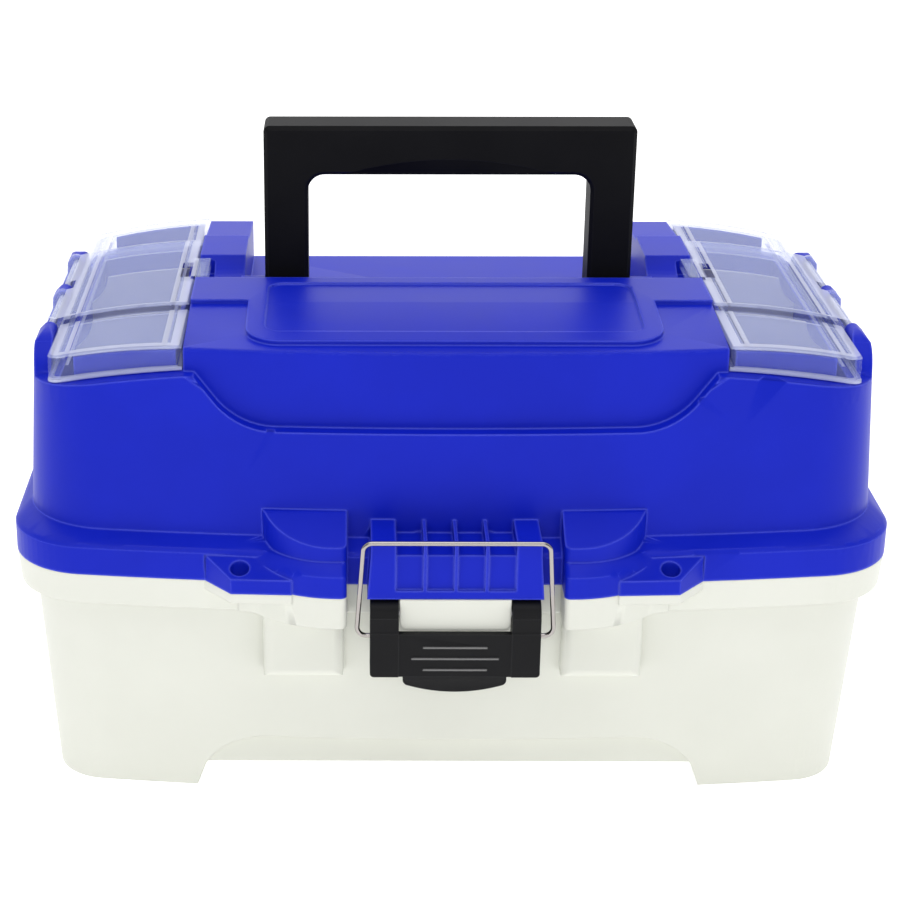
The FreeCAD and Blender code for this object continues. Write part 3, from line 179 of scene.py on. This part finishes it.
def addNoise(tree, place, scale, detail):
    noise = tree.nodes.new("ShaderNodeTexNoise")
    noise.inputs["Scale"].default_value = scale
    noise.inputs["Detail"].default_value = detail
    tree.links.new(place, noise.inputs["Vector"])
    return noise.outputs["Fac"]


def addRange(tree, value, low, high):
    node = tree.nodes.new("ShaderNodeMapRange")
    node.inputs["To Min"].default_value = low
    node.inputs["To Max"].default_value = high
    tree.links.new(value, node.inputs["Value"])
    return node.outputs["Result"]


def addMath(tree, operation, *values):
    node = tree.nodes.new("ShaderNodeMath")
    node.operation = operation
    for socket, value in zip(node.inputs, values):
        if isinstance(value, float):
            socket.default_value = value
        else:
            tree.links.new(value, socket)
    return node.outputs["Value"]


def addSplit(tree, vector):
    parts = tree.nodes.new("ShaderNodeSeparateXYZ")
    tree.links.new(vector, parts.inputs["Vector"])
    return parts.outputs


def addBlend(tree, share, first, second):
    # a colour mix; first and second are colours or sockets
    blend = tree.nodes.new("ShaderNodeMix")
    blend.data_type = "RGBA"
    tree.links.new(share, blend.inputs["Factor"])
    for socket, colour in zip((blend.inputs[6], blend.inputs[7]), (first, second)):
        if isinstance(colour, tuple):
            socket.default_value = (*colour, 1.0)
        else:
            tree.links.new(colour, socket)
    return blend.outputs[2]


def addGrainedNormal(tree, shader, finish, place):
    # edges rounded in the shading, with a fine moulded grain on top; gives the rounded normal back
    rounding = tree.nodes.new("ShaderNodeBevel")
    rounding.samples = moulding["roundingSamples"]
    rounding.inputs["Radius"].default_value = finish["edge"]
    bump = tree.nodes.new("ShaderNodeBump")
    bump.inputs["Strength"].default_value = moulding["grainStrength"]
    bump.inputs["Distance"].default_value = finish["depth"]
    tree.links.new(addNoise(tree, place, finish["grain"], moulding["grainDetail"]), bump.inputs["Height"])
    tree.links.new(rounding.outputs["Normal"], bump.inputs["Normal"])
    tree.links.new(bump.outputs["Normal"], shader.inputs["Normal"])
    return rounding.outputs["Normal"]


def addPaintedEdgeHighlight(tree, rounded, surface, paintedHighlight):
    # painted highlight: where the rounding turns the normal, the colour is painted paler, as if the moulded
    # edges caught the light
    turn = tree.nodes.new("ShaderNodeVectorMath")
    turn.operation = "DOT_PRODUCT"
    tree.links.new(rounded, turn.inputs[0])
    tree.links.new(tree.nodes.new("ShaderNodeNewGeometry").outputs["Normal"], turn.inputs[1])
    share = tree.nodes.new("ShaderNodeMapRange")
    share.inputs["From Min"].default_value = moulding["paintedHighlightFrom"]
    share.inputs["From Max"].default_value = moulding["paintedHighlightFull"]
    tree.links.new(turn.outputs["Value"], share.inputs["Value"])
    return addBlend(tree, share.outputs["Result"], surface, paintedHighlight)


# painted highlight on the lever's ribs: its colour, the plane in front of which it lies, and its half width
ribHighlight = {"colour": (0.20, 0.20, 0.20), "front": -0.1231, "reach": 0.0175}


def paintRibHighlight(tree, place, surface):
    # painted highlight: the lever's three ribs are painted paler where they stand proud, as if their tops
    # caught the light
    parts = addSplit(tree, place)
    inside = addMath(tree, "LESS_THAN", addMath(tree, "ABSOLUTE", parts["X"]), ribHighlight["reach"])
    proud = addMath(tree, "LESS_THAN", parts["Y"], ribHighlight["front"])
    return addBlend(tree, addMath(tree, "MULTIPLY", inside, proud), surface, ribHighlight["colour"])


def makePlastic(name):
    finish = finishes[name]
    material, tree, shader, place = startMaterial(name)
    cloud = addNoise(tree, place, moulding["cloudScale"], moulding["cloudDetail"])
    ramp = tree.nodes.new("ShaderNodeValToRGB")
    mottle, colour = ramp.color_ramp.elements
    mottle.position = moulding["mottleUntil"]
    mottle.color = (*finish["mottle"], 1.0)
    colour.position = moulding["colourFrom"]
    colour.color = (*finish["colour"], 1.0)
    tree.links.new(cloud, ramp.inputs["Fac"])
    surface = ramp.outputs["Color"]
    # painted highlight on the lever's ribs
    if name == "latchBlack":
        surface = paintRibHighlight(tree, place, surface)
    rounded = addGrainedNormal(tree, shader, finish, place)
    # paler colour painted on the rounded edges as a highlight
    surface = addPaintedEdgeHighlight(tree, rounded, surface, finish["paintedHighlight"])
    tree.links.new(surface, shader.inputs["Base Color"])
    sheen = addRange(tree, cloud, finish["roughness"] - moulding["smoother"],
                     finish["roughness"] + moulding["rougher"])
    tree.links.new(sheen, shader.inputs["Roughness"])
    shader.inputs["Specular IOR Level"].default_value = finish["shine"]
    return material


# Frosted covers: clearer skirts, milkier where ribs and borders make the plastic thicker, and a painted
# highlight along the panel's ends and the skirt's foot bead

frosted = {
    "panel": (0.50, 0.58, 1.0), "thickAndHighlight": (0.72, 0.76, 0.98), "roughness": 0.30,
    "skirtVeil": 0.08, "panelVeil": 0.27, "thickAndHighlightVeil": 0.52, "levelPower": 1.5,
    "cloudScale": 45.0, "cloudDetail": 2.0, "cloudVeil": 0.03,
    "grain": 1400.0, "depth": 0.00003, "edge": 0.0008,
}
thickBands = {
    # distance from the middle of the box: centre and half width, in metres
    "innerBorder": (0.1082, 0.0023),
    "innerRib": (0.1130, 0.0010),
    "outerRib": (0.1515, 0.0010),
    "outerBorder": (0.1580, 0.0030),
}
coverLines = {
    # end borders, which run aslant (milkier as thicker plastic, with a painted highlight), and the steps
    # where the knuckles begin
    "middleY": 0.0083, "inner": 0.106, "slant": 0.0933, "end": 0.0880, "endHalf": 0.0022,
    "step": 0.0441, "stepHalf": 0.0009,
}
footBeadHighlight = {
    # painted highlight along the bead at the skirt's foot, which follows the arched ledge
    "peak": 0.1824, "centre": 0.060, "bend": 1.0, "rise": 0.0006, "half": 0.0009,
}


def makeFrosted():
    material, tree, shader, place = startMaterial("coverFrosted")

    def compute(operation, *values):
        return addMath(tree, operation, *values)

    parts = addSplit(tree, place)
    across = compute("ABSOLUTE", parts["X"])
    along = compute("ABSOLUTE", compute("SUBTRACT", parts["Y"], coverLines["middleY"]))
    masks = [compute("COMPARE", across, centre, half) for centre, half in thickBands.values()]
    out = compute("SUBTRACT", across, coverLines["inner"])
    end = compute("MULTIPLY_ADD", out, coverLines["slant"], along)
    # painted highlight along the panel's ends, on top of the thicker border
    masks.append(compute("COMPARE", end, coverLines["end"], coverLines["endHalf"]))
    masks.append(compute("COMPARE", along, coverLines["step"], coverLines["stepHalf"]))
    thickAndHighlight = masks[0]
    for mask in masks[1:]:
        thickAndHighlight = compute("MAXIMUM", thickAndHighlight, mask)
    flatness = tree.nodes.new("ShaderNodeNewGeometry").outputs["True Normal"]
    level = compute("ABSOLUTE", addSplit(tree, flatness)["Z"])
    thickAndHighlight = compute("MULTIPLY", thickAndHighlight, compute("POWER", level, frosted["levelPower"]))
    # painted highlight band along the foot bead
    offCentre = compute("SUBTRACT", across, footBeadHighlight["centre"])
    bend = compute("MULTIPLY", compute("MULTIPLY", offCentre, offCentre), footBeadHighlight["bend"])
    aboveFoot = compute("SUBTRACT", parts["Z"], compute("SUBTRACT", footBeadHighlight["peak"], bend))
    thickAndHighlight = compute("MAXIMUM", thickAndHighlight, compute("COMPARE", aboveFoot, footBeadHighlight["rise"], footBeadHighlight["half"]))
    veil = compute("MULTIPLY_ADD", level, frosted["panelVeil"] - frosted["skirtVeil"], frosted["skirtVeil"])
    cloud = addNoise(tree, place, frosted["cloudScale"], frosted["cloudDetail"])
    veil = compute("MULTIPLY_ADD", cloud, frosted["cloudVeil"], veil)
    veil = compute("MULTIPLY_ADD", compute("SUBTRACT", frosted["thickAndHighlightVeil"], veil), thickAndHighlight, veil)
    tree.links.new(veil, shader.inputs["Alpha"])
    # milkier colour where the plastic is thicker, and painted highlight on the end borders and the foot bead
    surface = addBlend(tree, thickAndHighlight, frosted["panel"], frosted["thickAndHighlight"])
    tree.links.new(surface, shader.inputs["Base Color"])
    shader.inputs["Roughness"].default_value = frosted["roughness"]
    addGrainedNormal(tree, shader, frosted, place)
    return material


# Steels

steels = {
    "bailSteel": {"colour": (0.38, 0.355, 0.34), "roughness": 0.13},
    "pinSteel": {"colour": (0.56, 0.56, 0.58), "roughness": 0.30},
    "armSteel": {"colour": (0.60, 0.60, 0.62), "roughness": 0.36},
}
drawn = {"scale": 420.0, "detail": 4.0, "smoother": 0.03, "rougher": 0.06}


def makeSteel(name):
    finish = steels[name]
    material, tree, shader, place = startMaterial(name)
    streaks = addNoise(tree, place, drawn["scale"], drawn["detail"])
    sheen = addRange(tree, streaks, finish["roughness"] - drawn["smoother"],
                     finish["roughness"] + drawn["rougher"])
    tree.links.new(sheen, shader.inputs["Roughness"])
    shader.inputs["Base Color"].default_value = (*finish["colour"], 1.0)
    shader.inputs["Metallic"].default_value = 1.0
    return material


whatIsMadeOfWhat = {
    "tubIvory": ["tub_shell", "tub_feet", "tub_front_blocks", "tub_lugs"],
    "lidBlue": ["lid_shell", "lid_lugs"],
    "handleBlack": ["handle"],
    "latchBlack": ["latch_lever"],
    "trayIvory": ["tray_lower", "tray_upper"],
    "dividerGrey": ["tray_lower_dividers", "tray_upper_dividers", "well_dividers_left",
                    "well_dividers_right"],
    "coverFrosted": ["cover_left", "cover_right"],
    "bailSteel": ["latch_bail"],
    "pinSteel": ["handle_pins", "cover_hinge_pins", "latch_pin", "lid_hinge_pins", "tray_pivot_pins",
                 "link_pivot_pins", "tray_lower_pegs", "tray_upper_pegs"],
    "armSteel": ["link_arm_left", "link_arm_right"],
}


def finishNodes():
    materials = {name: makePlastic(name) for name in finishes}
    materials.update({name: makeSteel(name) for name in steels})
    materials["coverFrosted"] = makeFrosted()
    for name, group in whatIsMadeOfWhat.items():
        for node in group:
            for materialSlot in nodes[node].material_slots:
                materialSlot.material = materials[name]
    print("materials given")
    return materials


# Smooth copies of the moulded and bent nodes; tub and lid have their feet, ears, pad and lugs welded on,
# so that no seam shows where the real ones are one moulding

smoothing = {"angle": 11.0, "flatWeight": 60, "mergeReach": 0.00002}
smoothPieces = {
    # piece: nodes, body, finish, slot
    "tubMoulding": (["tub_shell", "tub_feet", "tub_front_blocks", "tub_lugs"], "base", "tubIvory",
                    "tub_ivory"),
    "lidMoulding": (["lid_shell", "lid_lugs"], "lid", "lidBlue", "lid_blue"),
    "handleMoulding": (["handle"], "handle", "handleBlack", "handle_black"),
    "coverRightMoulding": (["cover_right"], "cover_right", "coverFrosted", "cover_frosted"),
    "coverLeftMoulding": (["cover_left"], "cover_left", "coverFrosted", "cover_frosted"),
    "leverMoulding": (["latch_lever"], "latch_lever", "latchBlack", "latch_black"),
    "bailWire": (["latch_bail"], "latch_bail", "bailSteel", "bail_steel"),
    "lowerTrayMoulding": (["tray_lower"], "tray_lower", "trayIvory", "tray_ivory"),
    "upperTrayMoulding": (["tray_upper"], "tray_upper", "trayIvory", "tray_ivory"),
}


def copyNode(node, name):
    piece = nodes[node].copy()
    piece.data = nodes[node].data.copy()
    piece.name = name
    bpy.context.scene.collection.objects.link(piece)
    bpy.ops.object.select_all(action="DESELECT")
    piece.select_set(True)
    bpy.context.view_layer.objects.active = piece
    bpy.ops.object.mode_set(mode="EDIT")
    bpy.ops.mesh.select_all(action="SELECT")
    bpy.ops.mesh.remove_doubles(threshold=smoothing["mergeReach"])
    bpy.ops.object.mode_set(mode="OBJECT")
    return piece


def weldTo(shell, node):
    part = copyNode(node, shell.name + "Part")
    bpy.ops.object.select_all(action="DESELECT")
    shell.select_set(True)
    bpy.context.view_layer.objects.active = shell
    union = shell.modifiers.new("weld", "BOOLEAN")
    union.operation = "UNION"
    union.solver = "EXACT"
    union.object = part
    bpy.ops.object.modifier_apply(modifier=union.name)
    bpy.data.objects.remove(part)


def smoothNodes(materials):
    for name, (group, body, finish, slot) in smoothPieces.items():
        piece = copyNode(group[0], name)
        for node in group[1:]:
            weldTo(piece, node)
        bpy.ops.object.shade_smooth_by_angle(angle=radians(smoothing["angle"]))
        steady = piece.modifiers.new("steadyNormals", "WEIGHTED_NORMAL")
        steady.mode = "FACE_AREA_WITH_ANGLE"
        steady.weight = smoothing["flatWeight"]
        steady.keep_sharp = True
        bpy.ops.object.modifier_apply(modifier=steady.name)
        piece.data.materials.clear()
        piece.data.materials.append(materials[finish])
        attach(piece, body)
        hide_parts(*group)
        print(name, "smoothed:", len(piece.data.polygons), "faces")


placeCamera()
buildStudio()
smoothNodes(finishNodes())
